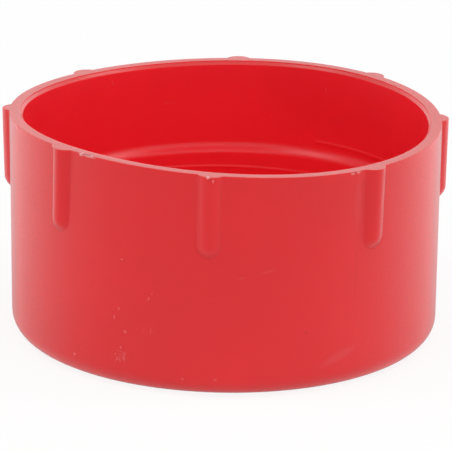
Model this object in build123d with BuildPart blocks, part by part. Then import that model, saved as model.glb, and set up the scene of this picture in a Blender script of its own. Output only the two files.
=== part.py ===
"""Threaded protection cap: one moulded shell with a plain skirt, a low internal thread and eight grip ribs.

Units are millimetres. The base is flat on Z = 0, the axis is +Z and the mouth is at the top.
The cap is injection moulded in one piece, so the whole model is a single solid.
"""

import os
from math import ceil, cos, floor, radians, sin

from build123d import *

# ---- outer shell ----
height = 41.6  # base to rim
wall_thickness = 2.5  # wall beside the plain skirt
base_round = 3.7  # outer corner between wall and base

# ---- mouth and plain skirt ----
skirt_radius = 37.5  # plain bore that passes over the pipe end
skirt_depth = 16.9  # rim to the shoulder
lead_in = 0.5  # 45 degree chamfer at the mouth, across and down
lip_step = 0.2  # small upright step between the rim's flat and the chamfer

# ---- thread zone and floor ----
shoulder_width = 1.25  # 45 degree shoulder, where the bore narrows
floor_thickness = 3.0
floor_bevel = 2.0  # 45 degree corner between the threaded wall and the floor

# ---- thread, a low right-hand ridge that follows the wall ----
thread_pitch = 3.175  # 8 turns to the inch
thread_start_depth = 15.2  # rim to the middle of the ridge where it starts
thread_start_angle = 65.7  # degrees round the axis, from +X
thread_end_gap = 5.0  # least height left between the last turn and the floor
thread_height = 0.42  # above the wall that carries it
thread_root_width = 1.1
thread_crest_width = 0.4
thread_embed = 0.5  # how far the ridge's root runs into its wall

# ---- grip ribs ----
rib_count = 8
rib_height = 1.4  # crest above the wall at the rim
rib_length = 14.4  # rim to the lower end of the crest
rib_crest_width = 1.5
rib_flank_angle = 39.0  # degrees, lean of each side
rib_lean = 0.8  # degrees, the crest runs in towards the wall going down
rib_crest_round = 0.45
rib_root_round = 0.6
rib_overrun = 3.0  # blank above the rim, cut off flush
rib_embed = 1.0  # how far the rib's root runs into the wall

# ---- underside ----
gate_radius = 3.0  # shallow round recess where the plastic entered the mould
gate_depth = 0.4

# ---- worked out from the sizes above ----
outer_radius = skirt_radius + wall_thickness
bore_radius = skirt_radius - shoulder_width
shoulder_top = height - skirt_depth
shoulder_bottom = shoulder_top - shoulder_width
thread_slope = (thread_root_width - thread_crest_width) / (2 * thread_height)
root_half = thread_root_width / 2 + thread_slope * thread_embed


def thread_ridge(wall_radius: float, start: float, end: float) -> BuildPart:
    """One run of the thread on a wall of the given radius, rising from the height start to the height end.

    The run starts over +X and turns anticlockwise as it rises, which is a right-hand thread.
    """
    with BuildPart() as ridge:
        with BuildLine() as path:
            helix = Helix(pitch=thread_pitch, height=end - start, radius=wall_radius, center=(0, 0, start))
        with BuildSketch(Plane(origin=helix @ 0, x_dir=(1, 0, 0), z_dir=helix % 0)):
            Polygon(
                (thread_embed, -root_half),
                (-thread_height, -thread_crest_width / 2),
                (-thread_height, thread_crest_width / 2),
                (thread_embed, root_half),
                align=None,
            )
        sweep(path=path.wire(), is_frenet=True)
    return ridge


# ---- thread: one helix, carried first by the skirt and then by the narrowed bore ----
# The skirt's run goes on until the shoulder has buried it, and the bore's run takes over at +X.
thread_top = height - thread_start_depth
first_turn_end = thread_top - thread_pitch * thread_start_angle / 360
skirt_turns = ceil((first_turn_end - shoulder_bottom) / thread_pitch)
skirt_run_end = first_turn_end - thread_pitch * skirt_turns
bore_turns = floor((skirt_run_end - floor_thickness - thread_end_gap) / thread_pitch)
bore_run_end = skirt_run_end - thread_pitch * bore_turns
skirt_thread = thread_ridge(skirt_radius, skirt_run_end, thread_top)
bore_thread = thread_ridge(bore_radius, bore_run_end, skirt_run_end)

# ---- one grip rib, over +X ----
rib_face = Plane(
    origin=(outer_radius + rib_height, 0, height),
    x_dir=(0, 1, 0),
    z_dir=(cos(radians(rib_lean)), 0, -sin(radians(rib_lean))),
)
with BuildPart() as rib:
    with BuildSketch(rib_face):
        with BuildLine():
            half = rib_crest_width / 2
            side = Line((half, rib_overrun), (half, half - rib_length))
            ThreePointArc(side @ 1, (0, -rib_length), (-half, half - rib_length))
            Polyline((-half, half - rib_length), (-half, rib_overrun), side @ 0)
        make_face()
    extrude(amount=-(rib_height + rib_embed), taper=-rib_flank_angle)
    fillet(rib.faces().sort_by(Axis.X)[-1].edges(), radius=rib_crest_round)

# ---- shell: wall, mouth, skirt, shoulder and floor in one turned section ----
with BuildPart() as cap:
    with BuildSketch(Plane.XZ) as section:
        with BuildLine():
            wall = Line((outer_radius, height), (outer_radius, 0))
            Polyline(
                wall @ 1,
                (0, 0),
                (0, floor_thickness),
                (bore_radius - floor_bevel, floor_thickness),
                (bore_radius, floor_thickness + floor_bevel),
                (bore_radius, shoulder_bottom),
                (skirt_radius, shoulder_top),
                (skirt_radius, height - lip_step - lead_in),
                (skirt_radius + lead_in, height - lip_step),
                (skirt_radius + lead_in, height),
                wall @ 0,
            )
        make_face()
        fillet(section.vertices().sort_by_distance((outer_radius, 0))[0], radius=base_round)
    revolve(axis=Axis.Z)

    # grip ribs: set round the wall, cut off flush with the rim, then blended into the wall
    with PolarLocations(0, rib_count):
        add(rib.part)
    split(bisect_by=Plane.XY.offset(height), keep=Keep.BOTTOM)
    outer_wall = cap.faces().filter_by(GeomType.CYLINDER).sort_by(SortBy.AREA)[-1]
    fillet(outer_wall.edges().filter_by(GeomType.BSPLINE), radius=rib_root_round)

    # thread, fused to the wall that carries each run
    add(skirt_thread.part)
    add(bore_thread.part)

    # gate recess in the middle of the underside
    with BuildSketch(Plane.XY):
        Circle(gate_radius)
    extrude(amount=gate_depth, mode=Mode.SUBTRACT)

cap.part.label = "threaded_cap"
os.makedirs("parts", exist_ok=True)
export_step(cap.part, "parts/threaded_cap.step")
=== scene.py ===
"""Looks of a threaded protection cap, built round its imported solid.

The cap is one moulding of soft red polyethylene, so it is one piece here too: a turned shell with
eight grip ribs outside and a low screw thread inside, a little out of round at the mouth, as soft
mouldings are. Sizes are written in millimetres and turned to metres by MM.
"""

import logging
import math
from dataclasses import dataclass, field
from enum import Enum

import bpy
import numpy as np
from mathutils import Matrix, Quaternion, Vector


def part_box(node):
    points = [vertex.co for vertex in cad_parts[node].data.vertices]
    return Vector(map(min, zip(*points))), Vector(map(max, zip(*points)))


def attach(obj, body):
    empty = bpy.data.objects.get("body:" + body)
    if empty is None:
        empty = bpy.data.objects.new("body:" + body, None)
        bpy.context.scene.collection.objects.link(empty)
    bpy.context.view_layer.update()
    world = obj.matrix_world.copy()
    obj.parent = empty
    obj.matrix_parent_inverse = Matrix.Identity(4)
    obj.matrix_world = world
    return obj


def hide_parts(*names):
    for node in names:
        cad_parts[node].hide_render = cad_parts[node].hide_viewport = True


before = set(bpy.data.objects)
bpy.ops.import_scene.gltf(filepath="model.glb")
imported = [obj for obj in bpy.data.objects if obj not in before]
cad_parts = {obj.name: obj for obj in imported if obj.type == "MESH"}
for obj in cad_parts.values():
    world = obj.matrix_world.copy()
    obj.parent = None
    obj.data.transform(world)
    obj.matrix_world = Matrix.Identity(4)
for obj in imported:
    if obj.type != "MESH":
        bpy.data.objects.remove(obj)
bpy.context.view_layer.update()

MM = 0.001
NODE = "threaded_cap"
BODY = "root"
TURN = 2 * math.pi
HAIR = 1e-6  # a share of a step too small to count
ANGLE_DIGITS = 7  # decimals of a radian, beyond which two places round the axis are one
AIM = (0.13, 0.0, 19.68)  # the point looked at, in mm from the middle of the base

Tree = bpy.types.NodeTree
Socket = bpy.types.NodeSocket

log = logging.getLogger("cap")


# ---------------------------------------------------------------- small helpers


def soft_min(a: np.ndarray, b: np.ndarray, blend: float) -> np.ndarray:
    """The lower of two surfaces, with the crease between them rounded.

    Args:
        a: heights of the first surface.
        b: heights of the second surface.
        blend: how far apart the two still round each other, in the same unit.

    Returns:
        The rounded minimum, point by point.
    """
    near = np.maximum(blend - np.abs(a - b), 0.0) / blend
    return np.minimum(a, b) - near * near * blend / 4


def soft_max(a: np.ndarray, b: np.ndarray, blend: float) -> np.ndarray:
    """The higher of two surfaces, with the crease between them rounded.

    Args:
        a: heights of the first surface.
        b: heights of the second surface.
        blend: how far apart the two still round each other, in the same unit.

    Returns:
        The rounded maximum, point by point.
    """
    return -soft_min(-a, -b, blend)


def linear(code: str) -> tuple[float, float, float, float]:
    """Turns an sRGB hex colour to the linear values that shaders take.

    Args:
        code: the colour, as in "#D0161C".

    Returns:
        Linear red, green and blue, with an alpha of 1.
    """
    values = (int(code[i : i + 2], 16) / 255 for i in (1, 3, 5))
    red, green, blue = (v / 12.92 if v <= 0.04045 else ((v + 0.055) / 1.055) ** 2.4 for v in values)
    return red, green, blue, 1.0


def add_node(tree: Tree, kind: str, settings: dict | None = None, **inputs) -> bpy.types.Node:
    """Adds one shader node with its settings, its values and its links.

    Args:
        tree: the node tree that gets it.
        kind: the node's type name, as bpy spells it.
        settings: properties of the node itself, by name.
        **inputs: a value or an output socket for each input, by the input's name with _ for a space.
            A name such as i0 stands for the input of that number.

    Returns:
        The new node.
    """
    node = tree.nodes.new(kind)
    for name, value in (settings or {}).items():
        setattr(node, name, value)
    for name, value in inputs.items():
        numbered = name[0] == "i" and name[1:].isdigit()
        socket = node.inputs[int(name[1:]) if numbered else name.replace("_", " ")]
        if isinstance(value, Socket):
            tree.links.new(value, socket)
        else:
            socket.default_value = value
    return node


# ---------------------------------------------------------------- shapes


class Zone(Enum):
    """Which face of the moulding a ring of points lies on."""

    BASE = "base"
    WALL = "wall"
    RIM = "rim"
    BORE = "bore"
    FLOOR = "floor"


@dataclass(frozen=True)
class Ring:
    """One ring of the turned section: its radius and height in mm, and its face."""

    radius: float
    z: float
    zone: Zone


@dataclass(frozen=True)
class Corner:
    """A corner of the turned section, the round on it, and the ring spacing and face after it."""

    radius: float
    z: float
    round: float
    step: float
    zone: Zone


@dataclass
class GripRibs:
    """Short upright ribs round the mouth, with a low crown, steep feet and a rounded lower end.

    Sizes in mm and radians; stray is how far each rib is from its even place, in degrees.
    """

    count: int = 8
    height: float = 1.4
    length: float = 15.4
    foot_half: float = 2.25
    crown: float = 2.1
    flank: float = math.radians(30.0)
    lean: float = math.radians(0.8)
    crest_blend: float = 0.3
    root_blend: float = 0.12
    sample: float = 0.18
    stray: tuple[float, ...] = (4.4, 2.8, 0.8, 2.3, 0.3, -0.8, -0.4, -0.3)

    def angles(self) -> np.ndarray:
        """The ribs' places round the axis, in radians: evenly spaced, each with its own stray."""
        return np.arange(self.count) * TURN / self.count + np.radians(self.stray)

    def relief(self, angle: np.ndarray, z: np.ndarray, wall: float, rim: float) -> np.ndarray:
        """How far the ribs stand out of the wall.

        Args:
            angle: places round the axis, in radians.
            z: heights of the same points, in mm.
            wall: the wall's radius, in mm.
            rim: the rim's height, in mm.

        Returns:
            The outward offset of each point, in mm.
        """
        away = (angle[..., None] - self.angles() + math.pi) % TURN - math.pi
        nearest = np.take_along_axis(away, np.abs(away).argmin(axis=-1)[..., None], axis=-1)[..., 0]
        across = wall * np.sin(nearest)
        below = np.maximum(rim - self.length + self.foot_half - z, 0.0)
        distance = np.hypot(across, below)
        crest = self.height - (rim - z) * math.tan(self.lean) - distance**2 / (2 * self.crown)
        side = (self.foot_half - distance) / math.tan(self.flank)
        foot = soft_max(side, np.zeros_like(side), self.root_blend)
        return np.where(side > -self.root_blend, soft_min(foot, crest, self.crest_blend), 0.0)


@dataclass
class ThreadRidge:
    """The low right-hand thread: one helix, carried first by the skirt and then by the bore.

    Sizes in mm; each half is measured from the ridge's middle line.
    """

    pitch: float = 3.175
    start_depth: float = 15.2
    start_angle: float = math.radians(65.7)
    skirt_turns: int = 1
    bore_turns: int = 4
    height: float = 0.16
    root_half: float = 0.36
    crest_half: float = 0.14
    blend: float = 0.08

    def ridge(self, distance: np.ndarray) -> np.ndarray:
        """How high the ridge stands.

        Args:
            distance: how far the points lie from its middle line, in mm.

        Returns:
            The height of each point, in mm.
        """
        side = (self.root_half - distance) * self.height / (self.root_half - self.crest_half)
        foot = soft_max(side, np.zeros_like(side), self.blend)
        capped = soft_min(foot, np.full_like(side, self.height), self.blend)
        return np.where(side > -self.blend, capped, 0.0)

    def inner_radius(self, angle: np.ndarray, z: np.ndarray, wall: np.ndarray, skirt: float,
                     bore: float, rim: float) -> np.ndarray:
        """The inside's radius with the thread on it.

        Args:
            angle: places round the axis, in radians.
            z: heights of the same points, in mm.
            wall: the plain inside's radius at those points, in mm.
            skirt: the skirt's radius, in mm.
            bore: the narrowed bore's radius, in mm.
            rim: the rim's height, in mm.

        Returns:
            The radius of each point, in mm.
        """
        turned = ((self.start_angle - angle) % TURN) / TURN
        depth = (rim - self.start_depth - z) / self.pitch
        turns = turned + np.round(depth - turned)
        away = np.abs(depth - turns) * self.pitch
        handover = self.start_angle / TURN + self.skirt_turns
        runs = ((skirt, 0.0, handover), (bore, handover, handover + self.bore_turns))
        radius = wall.copy()
        for carrier, first, last in runs:
            past = np.maximum(np.maximum(first - turns, turns - last), 0.0) * TURN * carrier
            height = self.ridge(np.hypot(away, past))
            radius = np.where(height > 0, np.minimum(radius, carrier - height), radius)
        return radius


class Side(Enum):
    """Which side of the wall a mark lies on."""

    OUTSIDE = "outside"
    INSIDE = "inside"


@dataclass(frozen=True)
class Mark:
    """One small mark from handling or from the mould. Angles in degrees, sizes in mm.

    along and up are half its width and height. pale is how far it whitens the plastic, and below
    nothing it darkens it. A broken mark is made of specks. Some dark marks are painted shade, one of
    them a broad patch.
    """

    angle: float
    height: float
    along: float
    up: float
    pale: float
    tilt: float = 0.0
    side: Side = Side.OUTSIDE
    broken: bool = False


@dataclass(frozen=True)
class Burr:
    """A ragged bit of flash at the rim's outer edge. Angles in degrees, sizes in mm.

    tears is how closely its tears follow each other, in radians to the mm, and torn_share how deep
    they cut. A second, slower wave makes them uneven.
    """

    angle: float
    half_width: float
    relief: float
    tears: float
    torn_share: float = 0.4
    slow_wave: float = 0.37
    depth: float = 0.35
    depth_spread: float = 0.3

    def raise_edge(self, angle: np.ndarray, below: np.ndarray, wall: float) -> np.ndarray:
        """How far the flash stands out.

        Args:
            angle: places round the axis, in radians.
            below: how far the points lie below the rim, in mm.
            wall: the wall's radius, in mm.

        Returns:
            The outward offset of each point, in mm.
        """
        along = wall * ((angle - math.radians(self.angle) + math.pi) % TURN - math.pi)
        body = np.clip(1 - (along / self.half_width) ** 2, 0, 1)
        slow = np.cos(self.tears * self.slow_wave * along + self.angle)
        torn = 1 - self.torn_share + self.torn_share * np.sin(self.tears * along) * slow
        fade = np.exp(-(((below - self.depth) / self.depth_spread) ** 2))
        return self.relief * body * torn * fade


@dataclass
class MouthWarp:
    """How far the soft mouth is out of true, fading to nothing at the base.

    oval and lobes move it in and out, two and three times in a turn; wave and tilt move it up and
    down, twice and once. All four are shares of a radius.
    """

    oval: float = 0.0208
    oval_at: float = math.radians(-31.0)
    lobes: float = 0.0092
    lobes_at: float = math.radians(55.3)
    wave: float = 0.0123
    wave_at: float = math.radians(51.7)
    tilt: float = 0.0058
    tilt_at: float = math.radians(-97.2)

    def apply(self, angle: np.ndarray, radius: np.ndarray, z: np.ndarray, wall: float,
              rim: float) -> tuple[np.ndarray, np.ndarray]:
        """Bends points out of true.

        Args:
            angle: places round the axis, in radians.
            radius: radii of the points, in mm.
            z: heights of the points, in mm.
            wall: the wall's radius, in mm.
            rim: the rim's height, in mm.

        Returns:
            The new radii and heights, in mm.
        """
        share = z / rim
        spread = self.oval * np.cos(2 * (angle - self.oval_at))
        spread = spread + self.lobes * np.cos(3 * (angle - self.lobes_at))
        rise = self.wave * np.cos(2 * (angle - self.wave_at)) + self.tilt * np.cos(angle - self.tilt_at)
        return radius * (1 + share * spread), z + share * rise * wall


@dataclass
class Shell:
    """The whole cap: a turned section with ribs, thread and warp on it. Sizes in mm.

    A step is the spacing of the rings along a stretch of the section, and a margin is how far a
    close spacing goes on beyond what it is for.
    """

    rim: float
    wall: float
    ribs: GripRibs
    thread: ThreadRidge
    warp: MouthWarp
    base_round: float = 3.7
    rim_round: float = 0.12
    skirt: float = 37.5
    skirt_depth: float = 16.9
    lead_in: float = 0.5
    lip_step: float = 0.2
    shoulder: float = 1.25
    floor: float = 3.0
    floor_bevel: float = 2.0
    gate_radius: float = 3.0
    gate_depth: float = 0.4
    gate_inner_share: float = 0.7
    gate_corner_round: float = 0.15
    gate_edge_round: float = 0.12
    mouth_round: float = 0.1
    lip_round: float = 0.06
    lead_in_round: float = 0.25
    shoulder_top_round: float = 1.6
    shoulder_end_round: float = 1.2
    floor_round: float = 1.0
    plain_step: float = 4.0
    rib_end_step: float = 0.22
    rib_end_below: float = 0.5
    rib_end_above: float = 2.8
    flash_band: float = 1.2
    flash_step: float = 0.15
    rim_step: float = 0.7
    thread_step: float = 0.18
    thread_margin_above: float = 1.0
    thread_margin_below: float = 1.2
    thread_start_half: float = 1.6
    thread_start_columns: int = 13
    arc_step: float = 12.0
    least_arc_steps: int = 3
    rib_foot_margin: float = 2.5
    coarse_angle: float = math.radians(1.9)
    coarse_clearance: float = 0.4
    burrs: tuple[Burr, ...] = (
        Burr(231.6, 0.7, 0.16, 9.0), Burr(234.4, 1.3, 0.12, 11.0), Burr(308.2, 1.2, 0.14, 10.0),
        Burr(198.8, 0.5, 0.1, 9.0),
    )
    marks: tuple[Mark, ...] = (
        # torn flash and whitened nicks along the rim's outer edge, with thin lines of painted shadow
        Mark(220.3, 41.3, 0.42, 0.26, 0.55),
        Mark(231.5, 41.42, 0.5, 0.26, 0.7),
        Mark(234.2, 41.42, 1.5, 0.16, 0.6),
        # painted shadow: a thin dark line along the rim's edge at the torn flash
        Mark(233.2, 41.56, 1.2, 0.07, -0.75),
        Mark(269.2, 41.5, 0.32, 0.24, 0.6),
        Mark(269.7, 41.15, 0.2, 0.18, -0.45),
        Mark(270.5, 40.95, 0.2, 0.32, 0.35),
        Mark(307.2, 41.3, 0.42, 0.22, 0.45),
        Mark(309.0, 41.4, 0.5, 0.18, 0.4),
        # painted shadow: a thin dark line along the rim's edge at the torn flash
        Mark(308.3, 41.5, 0.9, 0.07, -0.45),
        Mark(198.8, 41.0, 0.3, 0.22, 0.3),
        # specks, scratches and scuffs low on the wall
        Mark(245.7, 24.0, 0.22, 0.22, 0.26),
        Mark(253.9, 17.7, 1.5, 0.13, 0.3, tilt=-55.0, broken=True),
        Mark(243.8, 13.0, 0.15, 0.4, 0.22),
        Mark(245.2, 14.8, 0.2, 0.2, 0.16),
        Mark(247.2, 10.7, 0.3, 0.26, 0.22),
        Mark(246.0, 7.7, 0.2, 0.22, 0.22),
        Mark(245.7, 6.0, 1.7, 1.3, 0.17, broken=True),
        Mark(253.8, 11.4, 1.3, 0.8, 0.12, broken=True),
        Mark(231.0, 4.1, 0.4, 0.2, 0.25),
        Mark(197.5, 19.6, 0.2, 0.2, 0.3),
        Mark(284.8, 24.0, 1.5, 0.2, 0.05, tilt=-14.0),
        Mark(278.2, 22.8, 0.7, 0.2, 0.05),
        Mark(305.2, 6.5, 3.9, 0.9, 0.05, tilt=-20.0),
        Mark(295.5, 11.9, 0.45, 0.4, -0.12),
        Mark(271.8, 3.5, 0.3, 0.2, 0.15),
        Mark(263.2, 3.3, 0.3, 0.2, 0.15),
        # flow lines beside a rib
        Mark(309.2, 35.3, 0.8, 5.5, 0.03),
        Mark(309.4, 21.7, 0.16, 8.4, -0.08),
        # faint handling marks inside, and a speck on the shoulder
        Mark(129.8, 39.0, 0.14, 0.8, 0.1, tilt=20.0, side=Side.INSIDE),
        Mark(62.8, 37.2, 0.14, 0.5, 0.14, side=Side.INSIDE),
        Mark(111.2, 33.5, 1.5, 0.2, 0.04, side=Side.INSIDE),
        Mark(106.2, 24.3, 0.26, 0.22, 0.2, side=Side.INSIDE),
        # painted shade: a broad patch on one side of the inside, painted a darker red
        Mark(60.0, 37.0, 17.0, 9.0, -0.1, side=Side.INSIDE),
    )

    @property
    def bore(self) -> float:
        """Radius of the narrowed bore."""
        return self.skirt - self.shoulder

    def corners(self) -> list[Corner]:
        """Lists the corners of the turned section.

        Returns:
            The corners, from the middle of the underside to the middle of the floor.
        """
        step, rim, skirt = self.plain_step, self.rim, self.skirt
        rib_end, shoulder_top = rim - self.ribs.length, rim - self.skirt_depth
        lip = rim - self.lip_step
        thread_start = rim - self.thread.start_depth
        turns = self.thread.start_angle / TURN + self.thread.skirt_turns + self.thread.bore_turns
        thread_top = thread_start + self.thread_margin_above
        thread_end = thread_start - self.thread.pitch * turns - self.thread_margin_below
        return [
            Corner(self.gate_radius * self.gate_inner_share, self.gate_depth, 0, step, Zone.BASE),
            Corner(self.gate_radius, self.gate_depth, self.gate_corner_round, step, Zone.BASE),
            Corner(self.gate_radius, 0, self.gate_edge_round, step, Zone.BASE),
            Corner(self.wall, 0, self.base_round, step, Zone.WALL),
            Corner(self.wall, rib_end - self.rib_end_below, 0, self.rib_end_step, Zone.WALL),
            Corner(self.wall, rib_end + self.rib_end_above, 0, step, Zone.WALL),
            Corner(self.wall, rim - self.flash_band, 0, self.flash_step, Zone.WALL),
            Corner(self.wall, rim, self.rim_round, self.rim_step, Zone.RIM),
            Corner(skirt + self.lead_in, rim, self.mouth_round, step, Zone.BORE),
            Corner(skirt + self.lead_in, lip, self.lip_round, step, Zone.BORE),
            Corner(skirt, lip - self.lead_in, self.lead_in_round, step, Zone.BORE),
            Corner(skirt, thread_top, 0, self.thread_step, Zone.BORE),
            Corner(skirt, shoulder_top, self.shoulder_top_round, self.thread_step, Zone.BORE),
            Corner(
                self.bore, shoulder_top - self.shoulder, self.shoulder_end_round, self.thread_step,
                Zone.BORE,
            ),
            Corner(self.bore, thread_end, 0, step, Zone.BORE),
            Corner(self.bore, self.floor + self.floor_bevel, self.floor_round, step, Zone.FLOOR),
            Corner(self.bore - self.floor_bevel, self.floor, self.floor_round, step, Zone.FLOOR),
            Corner(self.gate_radius, self.floor, 0, step, Zone.FLOOR),
        ]

    def rings(self) -> list[Ring]:
        """Draws every round of the section as an arc and divides every run.

        Returns:
            The section's rings, in the order of its corners.
        """
        corners = self.corners()
        places = [np.array((c.radius, c.z)) for c in corners]
        found = [Ring(corners[0].radius, corners[0].z, corners[0].zone)]
        for i in range(1, len(corners)):
            here, before, last = corners[i], corners[i - 1], np.array((found[-1].radius, found[-1].z))
            into = (places[i] - places[i - 1]) / np.linalg.norm(places[i] - places[i - 1])
            reach, arc = 0.0, []
            if here.round:
                out = (places[i + 1] - places[i]) / np.linalg.norm(places[i + 1] - places[i])
                turn = math.acos(float(np.clip(into @ out, -1, 1)))
                reach = here.round * math.tan(turn / 2)
                side = out - into
                centre = places[i] + side / np.linalg.norm(side) * here.round / math.cos(turn / 2)
                start, end = places[i] - into * reach - centre, places[i] + out * reach - centre
                steps = max(self.least_arc_steps, round(math.degrees(turn) / self.arc_step))
                for k in range(1, steps + 1):
                    share = turn * k / steps
                    swung = (start * math.sin(turn - share) + end * math.sin(share)) / math.sin(turn)
                    arc.append(centre + swung)
            stop = places[i] - into * reach
            # a hair less, so that rounding never adds a ring
            pieces = max(1, math.ceil(np.linalg.norm(stop - last) / before.step - HAIR))
            for k in range(1, pieces + 1):
                point = last + (stop - last) * k / pieces
                found.append(Ring(float(point[0]), float(point[1]), before.zone))
            found += [Ring(float(p[0]), float(p[1]), here.zone) for p in arc]
        return found

    def stations(self) -> np.ndarray:
        """Spaces the columns of points: close at the ribs, flash and thread start, wide between them.

        Returns:
            Their places round the axis, in radians.
        """
        reach = self.ribs.foot_half + self.rib_foot_margin * self.ribs.root_blend
        count = round(2 * reach / self.ribs.sample)
        fine = np.linspace(-reach, reach, count + 1) / self.wall
        windows = [(a, fine) for a in self.ribs.angles()]
        half = self.thread_start_half
        start = np.linspace(-half, half, self.thread_start_columns) / self.skirt
        windows.append((self.thread.start_angle, start))
        for burr in self.burrs:
            count = round(2 * burr.half_width / self.ribs.sample)
            spread = np.linspace(-1, 1, count + 1) * burr.half_width / self.wall
            windows.append((math.radians(burr.angle), spread))
        coarse = np.arange(0, TURN, self.coarse_angle)
        for middle, spread in windows:
            gap = (coarse - middle + math.pi) % TURN - math.pi
            coarse = coarse[np.abs(gap) > spread[-1] + self.coarse_angle * self.coarse_clearance]
        dense = np.concatenate([middle + spread for middle, spread in windows])
        return np.unique(np.round(np.concatenate([coarse, dense]) % TURN, ANGLE_DIGITS))

    def points(self) -> tuple[np.ndarray, int, int]:
        """Places all the cap's points.

        Returns:
            The points in metres, ring by ring, the number of rings and the number of columns.
        """
        rings, angle = self.rings(), self.stations()
        place = np.broadcast_to(angle, (len(rings), len(angle)))
        radius = np.array([[r.radius] * len(angle) for r in rings])
        z = np.array([[r.z] * len(angle) for r in rings])
        plain = radius.copy()
        for i, ring in enumerate(rings):
            if ring.zone in (Zone.WALL, Zone.RIM):
                rise = self.ribs.relief(place[i], z[i], self.wall, self.rim)
                # on the rim's face both fade to nothing at its inner edge
                flat = self.wall - self.skirt - self.lead_in
                across = (plain[i] - self.skirt - self.lead_in) / flat
                share = np.clip(across, 0, 1) if ring.zone is Zone.RIM else np.ones_like(across)
                flash = sum(b.raise_edge(place[i], self.rim - z[i], self.wall) for b in self.burrs)
                radius[i] += (rise + flash) * share
            elif ring.zone is Zone.BORE:
                radius[i] = self.thread.inner_radius(
                    place[i], z[i], plain[i], self.skirt, self.bore, self.rim
                )
        radius, z = self.warp.apply(place, radius, z, self.wall, self.rim)
        xyz = np.stack([radius * np.cos(place), radius * np.sin(place), z], axis=-1) * MM
        return xyz.reshape(-1, 3), len(rings), len(angle)

    def spot(self, mark: Mark) -> Vector:
        """Finds where a mark lies.

        Args:
            mark: the mark.

        Returns:
            Its middle, in mm.
        """
        angle, height = np.radians([mark.angle]), np.array([mark.height])
        if mark.side is Side.INSIDE:
            plain = np.array([self.skirt if mark.height > self.rim - self.skirt_depth else self.bore])
        else:
            plain = np.array([self.wall])
            if mark.height < self.base_round:
                rise = self.base_round - mark.height
                plain -= self.base_round - math.sqrt(self.base_round**2 - rise**2)
            plain += self.ribs.relief(angle, height, self.wall, self.rim)
        radius, z = self.warp.apply(angle, plain, height, self.wall, self.rim)
        return Vector((radius[0] * math.cos(angle[0]), radius[0] * math.sin(angle[0]), z[0]))

    def build(self) -> bpy.types.Object:
        """Makes the cap's closed mesh.

        Returns:
            The mesh, as one object.
        """
        xyz, rows, columns = self.points()
        faces = [tuple(range(columns - 1, -1, -1))]
        for row in range(rows - 1):
            a, b = row * columns, (row + 1) * columns
            for k in range(columns):
                n = (k + 1) % columns
                faces.append((a + k, a + n, b + n, b + k))
        faces.append(tuple((rows - 1) * columns + k for k in range(columns)))
        mesh = bpy.data.meshes.new("cap_shell")
        mesh.from_pydata(xyz.tolist(), [], faces)
        mesh.validate()
        mesh.shade_smooth()
        piece = bpy.data.objects.new("cap_shell", mesh)
        bpy.context.scene.collection.objects.link(piece)
        return piece


# ---------------------------------------------------------------- finishes


@dataclass(frozen=True)
class Span:
    """Where a measure or a pattern begins to count, and where it counts in full."""

    start: float
    end: float


@dataclass(frozen=True)
class Relief:
    """How strongly a pattern is raised, and how deep it is in mm."""

    strength: float
    depth: float


@dataclass(frozen=True)
class Place:
    """Sockets that say where a point of the surface lies, in mm, and how it faces.

    outside is 1 on the cap's outer faces and 0 on its inner ones, upward is the upward part of the
    surface's normal, and away is 0 seen straight on and 1 seen edge on.
    """

    point: Socket
    height: Socket
    outside: Socket
    upward: Socket
    away: Socket


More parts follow.
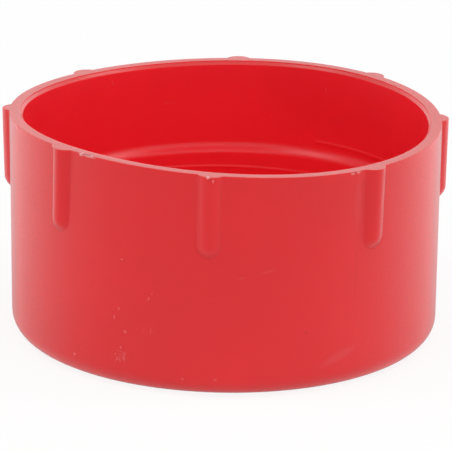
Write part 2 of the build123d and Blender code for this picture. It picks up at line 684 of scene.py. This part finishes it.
@dataclass(frozen=True)
class MouldedPolyethylene:
    """Low-density polyethylene, coloured through and injection moulded.

    The outside comes from a finely blasted cavity, so it is satin and goes pale where it turns away;
    the inside comes off a polished core, so it is smoother, and its red is painted lighter as painted
    light, for the light that does not get deep inside. Where it is nicked or torn it whitens, as a
    stretched polyethylene does. cloud, grain, ripple and speck are sizes of the patterns, in mm.
    """

    name: str = "ldpe_injection_moulded_red"
    pigment: str = "#F11A22"
    # painted light: the inside's red is painted lighter than the outside's
    pigment_inside_painted_light: str = "#FB2634"
    # the rim's face, painted paler as painted reflection
    rim_painted_reflection: str = "#EA5452"
    whitened: str = "#F6C3C2"
    bruise_and_painted_shade: str = "#8E0A14"
    veil: float = 0.06
    outside_roughness: float = 0.42
    inside_roughness: float = 0.32
    ior: float = 1.51
    # how much light goes in, how far it gets in mm, and how far each colour gets of that
    translucency: float = 0.3
    scatter: float = 1.5
    scatter_share: tuple[float, float, float] = (1.0, 0.12, 0.1)
    # slow shifts of tone in the wall, the blasted grain with its painted shade, and the painted
    # shade of the colour lost at a low angle
    cloud: float = 22.0
    cloud_depth: float = 0.94
    cloud_span: Span = Span(0.3, 0.7)
    grain: float = 0.35
    # the grain's painted shade: how dark, over what part of the pattern, and from what angle
    grain_depth: float = 0.88
    grain_span: Span = Span(0.4, 0.6)
    grain_shown: Span = Span(0.15, 0.75)
    # painted shade where the outside is seen edge on: how dark, and over what
    low_angle: float = 0.62
    low_angle_span: Span = Span(0.74, 0.96)
    # relief
    ripple: float = 6.0
    ripple_relief: Relief = Relief(0.25, 0.05)
    grain_relief: Relief = Relief(0.6, 0.03)
    mark_relief: Relief = Relief(0.5, 0.08)
    # marks: how ragged their edges are and how deep they reach, in mm. A wide one reaches deeper,
    # by its half width squared over mark_sag, as the wall curves away under it
    speck: float = 0.45
    speck_span: Span = Span(0.52, 0.62)
    ragged: float = 0.5
    mark_depth: float = 0.9
    mark_sag: float = 50.0
    mark_edge: Span = Span(1.25, 0.6)
    detail: float = 3.0
    # where the outer faces begin: radius, outward facing times radius, and height, in mm
    outer_reach: Span = Span(37.0, 37.5)
    outer_facing: Span = Span(-12.0, -2.0)
    under_floor: Span = Span(2.6, 2.2)
    # where the rim's face with its painted reflection is: height in mm, and upward facing
    rim_height: Span = Span(37.0, 38.0)
    rim_facing: Span = Span(0.3, 0.8)

    def find_place(self, tree: Tree) -> Place:
        """Adds what says where a point lies, and whether that is outside or inside the cap.

        Args:
            tree: the material's node tree.

        Returns:
            The sockets that say it.
        """
        where = add_node(tree, "ShaderNodeTexCoord").outputs
        point = add_node(
            tree, "ShaderNodeVectorMath", {"operation": "SCALE"}, Vector=where["Object"], Scale=1 / MM
        ).outputs[0]
        split = add_node(tree, "ShaderNodeSeparateXYZ", Vector=point).outputs
        flat = add_node(tree, "ShaderNodeCombineXYZ", X=split["X"], Y=split["Y"]).outputs[0]
        reach = add_node(
            tree, "ShaderNodeVectorMath", {"operation": "LENGTH"}, i0=flat
        ).outputs["Value"]
        # outside is where the surface faces away from the axis at the wall, or lies under the floor
        outward = add_node(
            tree, "ShaderNodeVectorMath", {"operation": "DOT_PRODUCT"}, i0=where["Normal"], i1=flat
        ).outputs["Value"]
        turned_out = add_node(
            tree, "ShaderNodeMapRange", Value=outward, From_Min=self.outer_facing.start,
            From_Max=self.outer_facing.end,
        ).outputs["Result"]
        beyond = add_node(
            tree, "ShaderNodeMapRange", Value=reach, From_Min=self.outer_reach.start,
            From_Max=self.outer_reach.end, To_Max=turned_out,
        ).outputs["Result"]
        outside = add_node(
            tree, "ShaderNodeMapRange", Value=split["Z"], From_Min=self.under_floor.start,
            From_Max=self.under_floor.end, To_Min=beyond,
        ).outputs["Result"]
        upward = add_node(tree, "ShaderNodeSeparateXYZ", Vector=where["Normal"]).outputs["Z"]
        away = add_node(tree, "ShaderNodeLayerWeight").outputs["Facing"]
        return Place(point, split["Z"], outside, upward, away)

    def add_masks(self, tree: Tree, place: Place,
                  marks: list[tuple[Mark, Vector]]) -> tuple[Socket, Socket]:
        """Adds one soft spot per mark.

        Args:
            tree: the material's node tree.
            place: where the surface's points lie.
            marks: each mark with its middle, in mm.

        Returns:
            The whitened share and the darkened share of the surface.
        """
        torn = add_node(
            tree, "ShaderNodeTexNoise", Vector=place.point, Scale=1 / self.speck, Detail=self.detail
        ).outputs
        shift = add_node(
            tree, "ShaderNodeVectorMath", {"operation": "MULTIPLY_ADD"},
            i0=torn["Color"], i1=(self.ragged,) * 3, i2=(-self.ragged / 2,) * 3,
        ).outputs[0]
        ragged = add_node(
            tree, "ShaderNodeVectorMath", {"operation": "ADD"}, i0=place.point, i1=shift
        ).outputs[0]
        specks = add_node(
            tree, "ShaderNodeMapRange", Value=torn["Fac"], From_Min=self.speck_span.start,
            From_Max=self.speck_span.end,
        ).outputs["Result"]
        shares = {}
        for mark, middle in marks:
            # a mark's width runs round the wall, square to the radius at its place
            turn = (0.0, math.radians(mark.tilt), math.radians(mark.angle + 90))
            depth = self.mark_depth + mark.along**2 / self.mark_sag
            local = add_node(
                tree, "ShaderNodeMapping", {"vector_type": "TEXTURE"}, Vector=ragged,
                Location=middle, Rotation=turn, Scale=(mark.along, depth, mark.up),
            ).outputs[0]
            away = add_node(
                tree, "ShaderNodeVectorMath", {"operation": "LENGTH"}, i0=local
            ).outputs["Value"]
            share = add_node(
                tree, "ShaderNodeMapRange", Value=away, From_Min=self.mark_edge.start,
                From_Max=self.mark_edge.end, To_Max=abs(mark.pale),
            ).outputs["Result"]
            if mark.broken:
                share = add_node(
                    tree, "ShaderNodeMath", {"operation": "MULTIPLY"}, i0=share, i1=specks
                ).outputs[0]
            pales = mark.pale > 0
            if pales in shares:
                share = add_node(
                    tree, "ShaderNodeMath", {"operation": "MAXIMUM"}, i0=shares[pales], i1=share
                ).outputs[0]
            shares[pales] = share
        return shares[True], shares[False]

    def add_tone(self, tree: Tree, place: Place, grain: Socket) -> Socket:
        """Adds how much of its colour each point gives back.

        Args:
            tree: the material's node tree.
            place: where the surface's points lie.
            grain: the blasted pattern.

        Returns:
            The share of the colour.
        """
        cloud = add_node(
            tree, "ShaderNodeTexNoise", Vector=place.point, Scale=1 / self.cloud
        ).outputs["Fac"]
        shade = add_node(
            tree, "ShaderNodeMapRange", Value=cloud, From_Min=self.cloud_span.start,
            From_Max=self.cloud_span.end, To_Min=self.cloud_depth,
        ).outputs["Result"]
        # painted shade: the grain darkens the colour in specks, only on the outside and only where it
        # turns away, standing in for the grain's small shadows at a low angle
        coarsest = add_node(
            tree, "ShaderNodeMapRange", Value=place.outside, To_Min=1.0, To_Max=self.grain_depth
        ).outputs["Result"]
        deepest = add_node(
            tree, "ShaderNodeMapRange", Value=place.away, From_Min=self.grain_shown.start,
            From_Max=self.grain_shown.end, To_Min=1.0, To_Max=coarsest,
        ).outputs["Result"]
        grain_painted_shade = add_node(
            tree, "ShaderNodeMapRange", Value=grain, From_Min=self.grain_span.start,
            From_Max=self.grain_span.end, To_Min=deepest,
        ).outputs["Result"]
        # painted shade: seen edge on, the outside's colour is painted darker, standing in for the light
        # that turns back at the surface there and so never takes up the colour
        lowest = add_node(
            tree, "ShaderNodeMapRange", Value=place.outside, To_Min=1.0, To_Max=self.low_angle
        ).outputs["Result"]
        edge_on_painted_shade = add_node(
            tree, "ShaderNodeMapRange", Value=place.away, From_Min=self.low_angle_span.start,
            From_Max=self.low_angle_span.end, To_Min=1.0, To_Max=lowest,
        ).outputs["Result"]
        clouded = add_node(
            tree, "ShaderNodeMath", {"operation": "MULTIPLY"}, i0=shade, i1=grain_painted_shade
        ).outputs[0]
        return add_node(
            tree, "ShaderNodeMath", {"operation": "MULTIPLY"}, i0=clouded, i1=edge_on_painted_shade
        ).outputs[0]

    def add_colour(self, tree: Tree, place: Place, tone: Socket, whitened: Socket,
                   bruise_and_painted_shade: Socket) -> Socket:
        """Adds the plastic's colour with the marks on it.

        Args:
            tree: the material's node tree.
            place: where the surface's points lie.
            tone: how much of its colour each point gives back.
            whitened: the whitened share of the surface.
            bruise_and_painted_shade: the darkened share of the surface.

        Returns:
            The colour.
        """
        # the inside's lighter red is painted light
        plain = add_node(
            tree, "ShaderNodeMix", {"data_type": "RGBA"}, Factor=place.outside,
            i6=linear(self.pigment_inside_painted_light), i7=linear(self.pigment),
        ).outputs[2]
        # painted reflection: the rim's upward face is painted a paler, pinker red, standing in for the
        # white paper it reflects at a low angle
        upward = add_node(
            tree, "ShaderNodeMapRange", Value=place.upward, From_Min=self.rim_facing.start,
            From_Max=self.rim_facing.end,
        ).outputs["Result"]
        rim_face = add_node(
            tree, "ShaderNodeMapRange", Value=place.height, From_Min=self.rim_height.start,
            From_Max=self.rim_height.end, To_Max=upward,
        ).outputs["Result"]
        toned = add_node(
            tree, "ShaderNodeMix", {"data_type": "RGBA"}, Factor=rim_face, i6=plain,
            i7=linear(self.rim_painted_reflection),
        ).outputs[2]
        body = add_node(
            tree, "ShaderNodeMix", {"data_type": "RGBA", "blend_type": "MULTIPLY"}, Factor=1.0,
            i6=toned, i7=tone,
        ).outputs[2]
        # the dark marks: bruises, and painted shade inside and at the torn flash
        dark = add_node(
            tree, "ShaderNodeMix", {"data_type": "RGBA"}, Factor=bruise_and_painted_shade, i6=body,
            i7=linear(self.bruise_and_painted_shade),
        ).outputs[2]
        return add_node(
            tree, "ShaderNodeMix", {"data_type": "RGBA"}, Factor=whitened, i6=dark,
            i7=linear(self.whitened),
        ).outputs[2]

    def add_relief(self, tree: Tree, place: Place, grain: Socket, whitened: Socket) -> Socket:
        """Adds the fine relief: slow sink and flow in a soft wall, the blasting, and torn plastic.

        Args:
            tree: the material's node tree.
            place: where the surface's points lie.
            grain: the blasted pattern.
            whitened: the whitened share of the surface, which stands up a little.

        Returns:
            The normal with the relief on it.
        """
        ripple = add_node(
            tree, "ShaderNodeTexNoise", Vector=place.point, Scale=1 / self.ripple
        ).outputs["Fac"]
        below = {}
        for height, relief in (
            (ripple, self.ripple_relief), (grain, self.grain_relief), (whitened, self.mark_relief),
        ):
            normal = add_node(
                tree, "ShaderNodeBump", Height=height, Strength=relief.strength,
                Distance=relief.depth * MM, **below,
            ).outputs["Normal"]
            below = {"Normal": normal}
        return normal

    def build(self, marks: list[tuple[Mark, Vector]]) -> bpy.types.Material:
        """Makes the material.

        Args:
            marks: each mark with its middle, in mm.

        Returns:
            The finished material.
        """
        material = bpy.data.materials.new(self.name)
        material.use_nodes = True
        tree = material.node_tree
        tree.nodes.clear()
        place = self.find_place(tree)
        whitened, bruise_and_painted_shade = self.add_masks(tree, place, marks)
        # the cavity's blasting, drawn about three times as coarse as it is so that it shows
        grain = add_node(
            tree, "ShaderNodeTexNoise", Vector=place.point, Scale=1 / self.grain, Detail=self.detail
        ).outputs["Fac"]
        tone = self.add_tone(tree, place, grain)
        colour = self.add_colour(tree, place, tone, whitened, bruise_and_painted_shade)
        veil = add_node(
            tree, "ShaderNodeMapRange", Value=place.outside, To_Max=self.veil
        ).outputs["Result"]
        rough = add_node(
            tree, "ShaderNodeMapRange", Value=place.outside,
            To_Min=self.inside_roughness, To_Max=self.outside_roughness,
        ).outputs["Result"]
        relief = self.add_relief(tree, place, grain, whitened)
        shader = add_node(
            tree, "ShaderNodeBsdfPrincipled", Base_Color=colour, Roughness=rough, IOR=self.ior,
            Subsurface_Weight=self.translucency, Subsurface_Scale=self.scatter * MM,
            Subsurface_Radius=self.scatter_share, Sheen_Weight=veil, Normal=relief,
        )
        add_node(tree, "ShaderNodeOutputMaterial", Surface=shader.outputs[0])
        return material


@dataclass(frozen=True)
class StudioPaper:
    """Matt white background paper, which shows white to the camera and keeps a soft shadow.

    Gloss sees it as a sheet that is lit from behind the cap, so it is duller near the front. reach
    is how far it takes to get there from the middle, in metres.
    """

    name: str = "paper_matt_white"
    sheet: str = "#DCDCDC"
    sheet_shown: str = "#6C6C6C"
    shown: float = 0.87
    gloss_front: float = 0.2
    gloss_back: float = 1.6
    reach: float = 0.15

    def build(self) -> bpy.types.Material:
        """Makes the material.

        Returns:
            The finished material.
        """
        material = bpy.data.materials.new(self.name)
        material.use_nodes = True
        tree = material.node_tree
        tree.nodes.clear()
        path = add_node(tree, "ShaderNodeLightPath").outputs
        place = add_node(tree, "ShaderNodeTexCoord").outputs["Object"]
        along = add_node(tree, "ShaderNodeSeparateXYZ", Vector=place).outputs["Y"]
        level = add_node(
            tree, "ShaderNodeMapRange", Value=along, From_Min=-self.reach, From_Max=self.reach,
            To_Min=self.gloss_front, To_Max=self.gloss_back,
        ).outputs["Result"]
        gloss = add_node(
            tree, "ShaderNodeMath", {"operation": "MULTIPLY"}, i0=path["Is Glossy Ray"], i1=level
        ).outputs[0]
        amount = add_node(
            tree, "ShaderNodeMath", {"operation": "MULTIPLY_ADD"},
            i0=path["Is Camera Ray"], i1=self.shown, i2=gloss,
        ).outputs[0]
        tone = add_node(
            tree, "ShaderNodeMix", {"data_type": "RGBA"}, Factor=path["Is Camera Ray"],
            i6=linear(self.sheet), i7=linear(self.sheet_shown),
        ).outputs[2]
        paper = add_node(tree, "ShaderNodeBsdfDiffuse", Color=tone)
        glow = add_node(tree, "ShaderNodeEmission", Strength=amount)
        both = add_node(tree, "ShaderNodeAddShader", i0=paper.outputs[0], i1=glow.outputs[0])
        add_node(tree, "ShaderNodeOutputMaterial", Surface=both.outputs[0])
        return material


# ---------------------------------------------------------------- studio


@dataclass(frozen=True)
class Softbox:
    """One soft lamp: where it hangs round the cap, how large and how strong it is.

    Angles in degrees, sizes in metres, power in watts.
    """

    name: str
    azimuth: float
    elevation: float
    distance: float
    width: float
    depth: float
    power: float


@dataclass
class Studio:
    """White paper, soft lamps and the camera, set round a point near the cap's axis.

    Angles in degrees, distances in metres, lens and sensor in mm. dome is how bright the
    surroundings are to matt surfaces, and gloss sees sky_front, sky_back and zenith.
    """

    aim: Vector
    azimuth: float = 3.7
    elevation: float = 18.06
    distance: float = 0.763
    roll: float = 1.0
    lens: float = 323.2
    sensor: float = 36.0
    floor_size: float = 3.0
    floor_gap: float = 0.02 * MM
    paper: StudioPaper = field(default_factory=StudioPaper)
    dome: float = 0.63
    sky_front: float = 0.0
    sky_back: float = 2.1
    zenith: float = 0.0
    front_to_back: Span = Span(-0.7, 0.8)
    low_to_high: Span = Span(0.45, 0.85)
    lamps: list[Softbox] = field(default_factory=lambda: [
        Softbox("softbox_front", 14.0, 38.0, 1.1, 2.2, 1.2, 5.15),
        Softbox("softbox_left", -77.0, 58.0, 0.9, 0.3, 0.3, 0.9),
        Softbox("softbox_right", 97.0, 51.0, 0.9, 0.3, 0.3, 1.15),
        Softbox("strip_left", -95.0, 8.0, 0.9, 0.25, 0.22, 0.75),
        Softbox("strip_right", 103.0, 8.0, 0.9, 0.25, 0.22, 0.4),
    ])

    def around(self, azimuth: float, elevation: float, distance: float) -> Vector:
        """A point round the aim.

        Args:
            azimuth: degrees from straight in front, towards +X.
            elevation: degrees above the horizon.
            distance: metres from the aim.

        Returns:
            The point, in metres.
        """
        a, e = math.radians(azimuth), math.radians(elevation)
        way = Vector((math.sin(a) * math.cos(e), -math.cos(a) * math.cos(e), math.sin(e)))
        return self.aim + distance * way

    def turned_to_aim(self, place: Vector) -> Quaternion:
        """The turn that makes a lamp or camera at a place look at the aim."""
        return (self.aim - place).to_track_quat("-Z", "Y")

    def add_camera(self) -> bpy.types.Object:
        """Adds the camera, at the studio's azimuth, elevation, distance and roll.

        Returns:
            The camera.
        """
        data = bpy.data.cameras.new("camera")
        data.lens, data.sensor_width = self.lens, self.sensor
        camera = bpy.data.objects.new("camera", data)
        camera.location = self.around(self.azimuth, self.elevation, self.distance)
        camera.rotation_mode = "QUATERNION"
        roll = Quaternion((0, 0, 1), math.radians(self.roll))
        camera.rotation_quaternion = self.turned_to_aim(camera.location) @ roll
        bpy.context.scene.collection.objects.link(camera)
        bpy.context.scene.camera = camera
        return camera

    def add_lamps(self) -> None:
        """Adds the soft lamps."""
        for lamp in self.lamps:
            data = bpy.data.lights.new(lamp.name, "AREA")
            data.shape, data.energy = "RECTANGLE", lamp.power
            data.size, data.size_y = lamp.width, lamp.depth
            light = bpy.data.objects.new(lamp.name, data)
            light.location = self.around(lamp.azimuth, lamp.elevation, lamp.distance)
            light.rotation_mode = "QUATERNION"
            light.rotation_quaternion = self.turned_to_aim(light.location)
            bpy.context.scene.collection.objects.link(light)

    def add_sky(self) -> None:
        """Adds the surroundings: white to the camera, and gloss sees them bright behind the cap."""
        world = bpy.data.worlds.new("white_studio")
        world.use_nodes = True
        bpy.context.scene.world = world
        tree = world.node_tree
        tree.nodes.clear()
        way = add_node(tree, "ShaderNodeTexCoord").outputs["Generated"]
        split = add_node(tree, "ShaderNodeSeparateXYZ", Vector=way).outputs
        low = add_node(
            tree, "ShaderNodeMapRange", Value=split["Y"], From_Min=self.front_to_back.start,
            From_Max=self.front_to_back.end, To_Min=self.sky_front, To_Max=self.sky_back,
        ).outputs["Result"]
        gloss = add_node(
            tree, "ShaderNodeMapRange", Value=split["Z"], From_Min=self.low_to_high.start,
            From_Max=self.low_to_high.end, To_Min=low, To_Max=self.zenith,
        ).outputs["Result"]
        path = add_node(tree, "ShaderNodeLightPath").outputs
        level = add_node(
            tree, "ShaderNodeMix", {"data_type": "FLOAT"}, Factor=path["Is Glossy Ray"],
            i2=self.dome, i3=gloss,
        ).outputs[0]
        strength = add_node(
            tree, "ShaderNodeMix", {"data_type": "FLOAT"}, Factor=path["Is Camera Ray"],
            i2=level, i3=1.0,
        ).outputs[0]
        sky = add_node(tree, "ShaderNodeBackground", Strength=strength)
        add_node(tree, "ShaderNodeOutputWorld", Surface=sky.outputs[0])

    def add_floor(self) -> bpy.types.Object:
        """Adds the sheet of paper under the cap, a hair lower so that the two faces stay apart.

        Returns:
            The sheet.
        """
        half = self.floor_size / 2
        corners = ((-half, -half), (half, -half), (half, half), (-half, half))
        mesh = bpy.data.meshes.new("paper_floor")
        mesh.from_pydata([(x, y, -self.floor_gap) for x, y in corners], [], [(0, 1, 2, 3)])
        mesh.materials.append(self.paper.build())
        floor = bpy.data.objects.new("paper_floor", mesh)
        bpy.context.scene.collection.objects.link(floor)
        return floor


def main() -> None:
    """Builds the cap, dresses it, and sets up the studio."""
    logging.basicConfig(level=logging.INFO)
    low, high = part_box(NODE)
    ribs = GripRibs()
    shell = Shell(
        rim=(high.z - low.z) / MM, wall=(high.x - low.x) / 2 / MM - ribs.height,
        ribs=ribs, thread=ThreadRidge(), warp=MouthWarp(),
    )
    cap = shell.build()
    spots = [(mark, shell.spot(mark)) for mark in shell.marks]
    cap.data.materials.append(MouldedPolyethylene().build(spots))
    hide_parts(NODE)
    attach(cap, BODY)
    log.info("cap_shell: %d points, %d faces", len(cap.data.vertices), len(cap.data.polygons))

    side, back, up = AIM
    studio = Studio(aim=Vector((side * MM, back * MM, low.z + up * MM)))
    studio.add_floor()
    studio.add_lamps()
    studio.add_sky()
    studio.add_camera()
    bpy.context.scene.view_settings.view_transform = "Standard"
    log.info("studio: %d lamps", len(studio.lamps))


if __name__ == "__main__":
    main()
